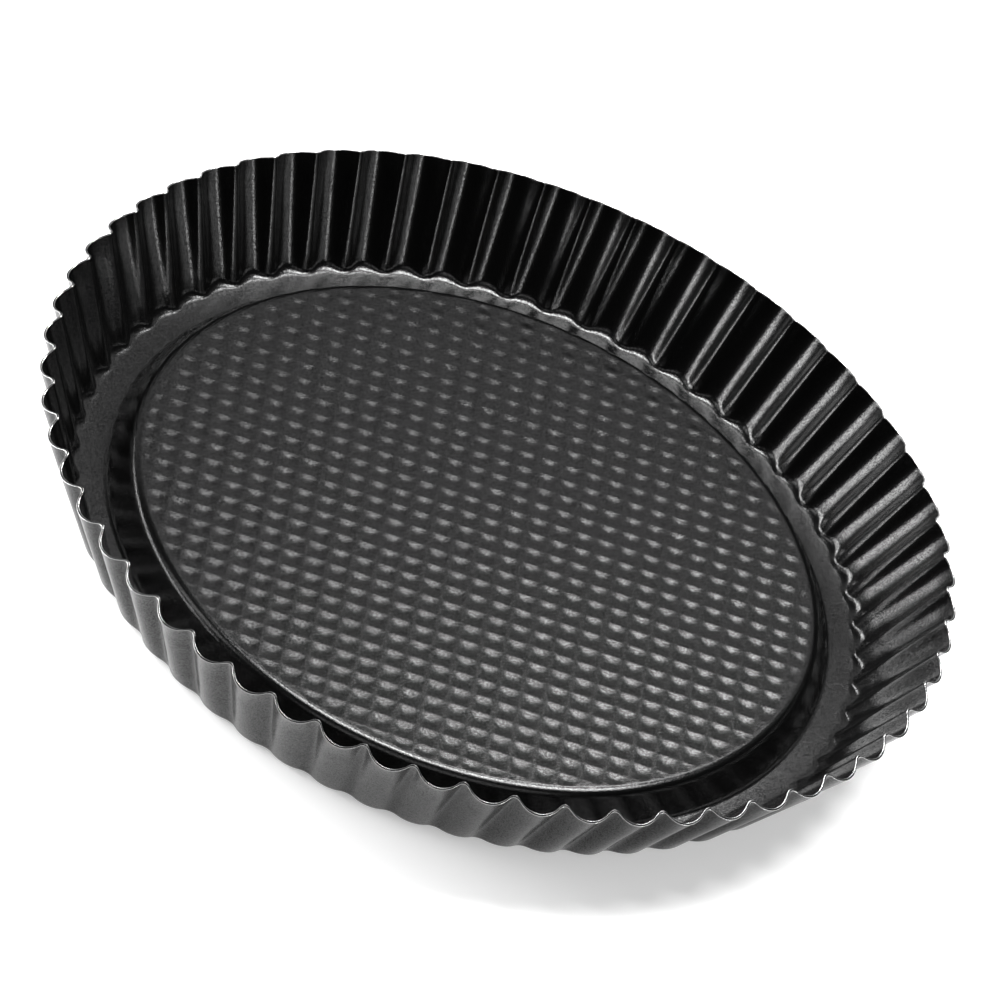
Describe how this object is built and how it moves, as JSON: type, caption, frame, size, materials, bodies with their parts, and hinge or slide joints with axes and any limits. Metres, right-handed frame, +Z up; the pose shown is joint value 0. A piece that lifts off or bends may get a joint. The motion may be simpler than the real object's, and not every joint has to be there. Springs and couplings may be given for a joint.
{
  "type": "fluted flan tin",
  "caption": "Round shallow baking tin of dark non-stick sheet steel: fluted leaning wall, bare-edge rim, flat ring and a raised, embossed centre panel.",
  "frame": {"origin": "centre of the circle that the tin stands on, at table level", "axes": "+Z up along the tin's axis, towards the open rim; a flute ridge lies on +X"},
  "size_m": [0.299, 0.2994, 0.037],
  "materials": {
    "nonstick_coating": "satin"
  },
  "bodies": {
    "root": {"tart_pan": "nonstick_coating"}
  },
  "joints": []
}
